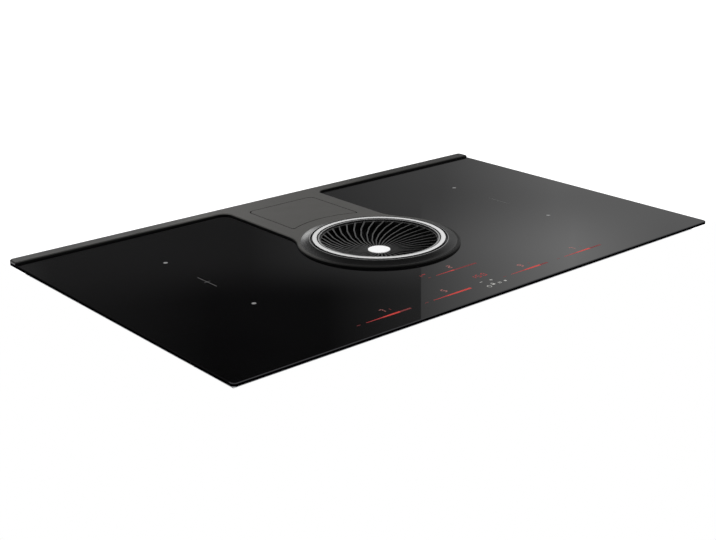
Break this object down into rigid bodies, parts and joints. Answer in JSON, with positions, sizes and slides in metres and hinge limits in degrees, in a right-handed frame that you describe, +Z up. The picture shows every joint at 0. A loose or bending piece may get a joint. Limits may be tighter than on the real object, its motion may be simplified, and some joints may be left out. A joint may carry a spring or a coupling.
{
  "type": "downdraft induction cooktop",
  "caption": "Built-in black glass induction hob with a central downdraft well, round swirl-vaned intake grille, grey trim with filter hatch, and a moulded blower housing below.",
  "frame": {"origin": "centre of the glass in plan, on the underside of its rim gasket, which is the top of the worktop", "axes": "+X to the user's right, +Y to the back, +Z up"},
  "size_m": [0.83, 0.515, 0.2205],
  "materials": {
    "black_glass": "high gloss",
    "soft_seal": "matt",
    "trim": "satin",
    "hatch": "satin",
    "bright_ring": "polished",
    "grille_casting": "semi-gloss",
    "cap_metal": "brushed",
    "housing": "matt",
    "case_moulding": "matt",
    "gland": "matt",
    "motor_can": "satin",
    "pan_steel": "zinc-coated",
    "spring_steel": "plain",
    "shaft_steel": "ground",
    "basket_steel": "satin",
    "tray": "matt",
    "cassette": "matt",
    "carbon": "matt",
    "mica": "matt",
    "coil_wire": "lacquered",
    "sensor": "matt",
    "deck_aluminium": "plain",
    "sink_aluminium": "extruded",
    "circuit_board": "lacquered",
    "light_guide": "matt",
    "fan_plastic": "satin"
  },
  "bodies": {
    "base": {"glass_plate": "black_glass", "rim_gasket": "soft_seal", "trim_bar": "trim", "trim_neck": "trim", "well_surround": "trim", "intake_sleeve": "housing", "plenum_box": "housing", "filter_shaft": "housing", "scroll_lower": "housing", "scroll_lid": "housing", "outlet_adaptor": "housing", "blower_motor": "motor_can", "hob_pan": "pan_steel", "mounting_springs": "spring_steel", "lower_case": "case_moulding", "terminal_box": "case_moulding", "cable_gland": "gland", "display_guide": "light_guide", "touch_board": "circuit_board", "mica_sheet_left": "mica", "coil_left_rear": "coil_wire", "coil_left_front": "coil_wire", "sensors_left": "sensor", "coil_deck_left": "deck_aluminium", "inverter_board_left": "circuit_board", "heat_sink_left": "sink_aluminium", "fan_frame_left": "fan_plastic", "mica_sheet_right": "mica", "coil_right_rear": "coil_wire", "coil_right_front": "coil_wire", "sensors_right": "sensor", "coil_deck_right": "deck_aluminium", "inverter_board_right": "circuit_board", "heat_sink_right": "sink_aluminium", "fan_frame_right": "fan_plastic"},
    "tray": {"liquid_tray": "tray"},
    "basket": {"grease_basket": "basket_steel"},
    "grille": {"grille": "grille_casting", "grille_ring": "bright_ring", "hub_cap": "cap_metal"},
    "cassette": {"odour_cassette": "cassette", "carbon_block_front": "carbon", "carbon_block_rear": "carbon"},
    "hatch": {"filter_hatch": "hatch", "hatch_seal": "soft_seal"},
    "wheel": {"blower_wheel": "fan_plastic", "blower_shaft": "shaft_steel"},
    "fan_left": {"fan_rotor_left": "fan_plastic"},
    "fan_right": {"fan_rotor_right": "fan_plastic"}
  },
  "joints": [
    {"name": "tray_lift", "type": "slide", "parent": "base", "child": "tray", "axis": [0, 0, 1], "range_m": [0, 0.12]},
    {"name": "basket_lift", "type": "slide", "parent": "tray", "child": "basket", "axis": [0, 0, 1], "range_m": [0, 0.1]},
    {"name": "grille_lift", "type": "slide", "parent": "basket", "child": "grille", "axis": [0, 0, 1], "range_m": [0, 0.06]},
    {"name": "cassette_lift", "type": "slide", "parent": "base", "child": "cassette", "axis": [0, 0, 1], "range_m": [0, 0.215]},
    {"name": "hatch_lift", "type": "slide", "parent": "cassette", "child": "hatch", "axis": [0, 0, 1], "range_m": [0, 0.06]},
    {"name": "wheel_spin", "type": "hinge", "parent": "base", "child": "wheel", "pos_m": [-0.0815, -0.07, -0.16], "axis": [0, 0, 1], "continuous": true},
    {"name": "fan_left_spin", "type": "hinge", "parent": "base", "child": "fan_left", "pos_m": [-0.33, 0.176, -0.045], "axis": [0, 0, 1], "continuous": true},
    {"name": "fan_right_spin", "type": "hinge", "parent": "base", "child": "fan_right", "pos_m": [0.33, 0.176, -0.045], "axis": [0, 0, 1], "continuous": true}
  ]
}
